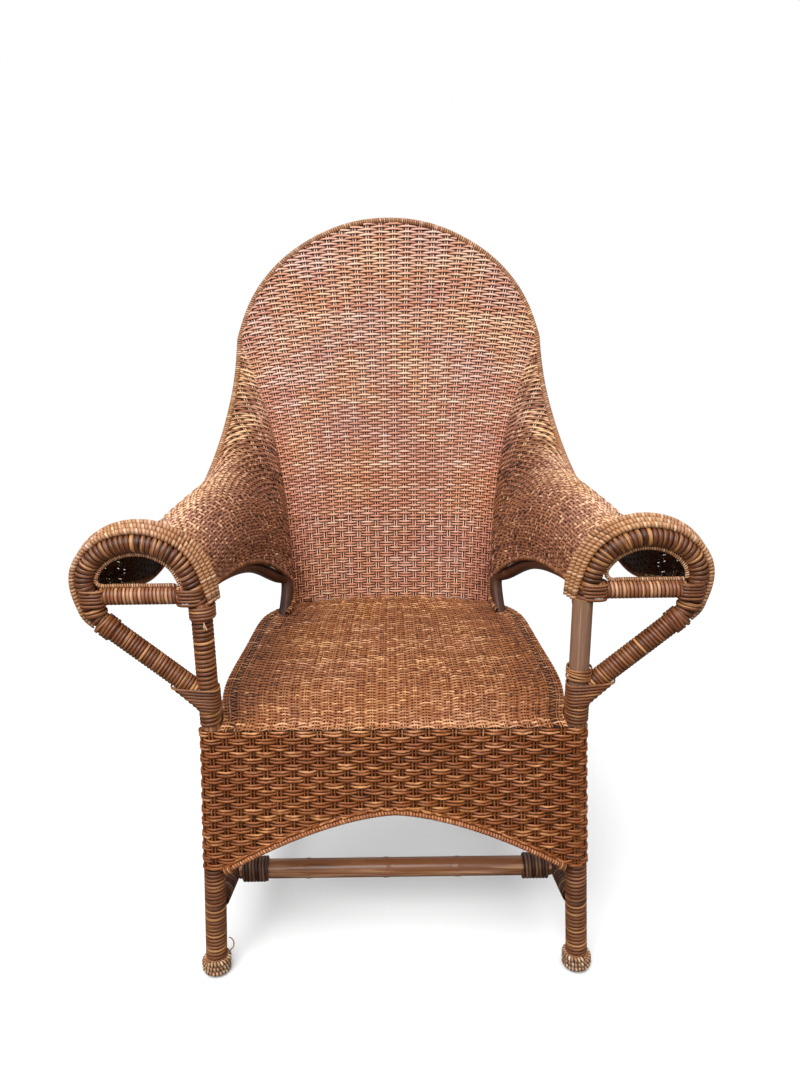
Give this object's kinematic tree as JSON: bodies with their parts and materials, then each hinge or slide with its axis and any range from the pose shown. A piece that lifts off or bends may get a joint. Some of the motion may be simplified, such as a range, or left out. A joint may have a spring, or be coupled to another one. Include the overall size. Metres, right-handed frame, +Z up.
{
  "type": "woven cane armchair",
  "caption": "High-backed wicker armchair with an arched woven back, rolled woven arms with braced scroll fronts, a woven seat and a deep arched apron.",
  "frame": {"origin": "on the floor, under the middle of the chair's overall width and depth", "axes": "+X to the chair's right side as seen from the front, +Y from the front to the back, +Z up"},
  "size_m": [0.8052, 0.6485, 1.0667],
  "materials": {
    "cane_poles": "varnished",
    "wrapping_cane": "varnished",
    "wrapped_rods": "varnished",
    "woven_cane": "varnished"
  },
  "bodies": {
    "root": {"apron_border": "wrapped_rods", "apron_border_tie_left": "wrapping_cane", "apron_border_tie_right": "wrapping_cane", "arm_bar_left": "cane_poles", "arm_bar_right": "cane_poles", "arm_bar_wrap_left": "wrapping_cane", "arm_bar_wrap_right": "wrapping_cane", "arm_bead_1_left": "wrapped_rods", "arm_bead_1_right": "wrapped_rods", "arm_bead_2_left": "wrapped_rods", "arm_bead_2_right": "wrapped_rods", "arm_bead_3_left": "wrapped_rods", "arm_bead_3_right": "wrapped_rods", "arm_bow_left": "cane_poles", "arm_bow_right": "cane_poles", "arm_brace_left": "cane_poles", "arm_brace_right": "cane_poles", "arm_brace_wrap_left": "wrapping_cane", "arm_brace_wrap_right": "wrapping_cane", "arm_inner_bead_left": "wrapped_rods", "arm_inner_bead_right": "wrapped_rods", "arm_rail_left": "cane_poles", "arm_rail_right": "cane_poles", "armhole_border_left": "wrapped_rods", "armhole_border_right": "wrapped_rods", "cross_stretcher": "cane_poles", "cross_stretcher_wrap_left": "wrapping_cane", "cross_stretcher_wrap_right": "wrapping_cane", "front_foot_coils": "wrapping_cane", "front_leg_left": "cane_poles", "front_leg_right": "cane_poles", "front_leg_wrap_left": "wrapping_cane", "front_leg_wrap_right": "wrapping_cane", "hoop": "wrapped_rods", "post_wrap_left": "wrapping_cane", "rear_leg_left": "cane_poles", "rear_leg_right": "cane_poles", "rear_stretcher": "cane_poles", "seat_cross_pole_front": "cane_poles", "seat_cross_pole_rear": "cane_poles", "seat_rail_front": "cane_poles", "seat_rail_rear": "cane_poles", "seat_rail_side_left": "cane_poles", "seat_rail_side_right": "cane_poles", "side_stretcher_left": "cane_poles", "side_stretcher_right": "cane_poles", "side_stretcher_wrap_left": "wrapping_cane", "side_stretcher_wrap_right": "wrapping_cane", "woven_apron": "woven_cane", "woven_arm_left": "woven_cane", "woven_arm_right": "woven_cane", "woven_back": "woven_cane", "woven_seat": "woven_cane"}
  },
  "joints": []
}
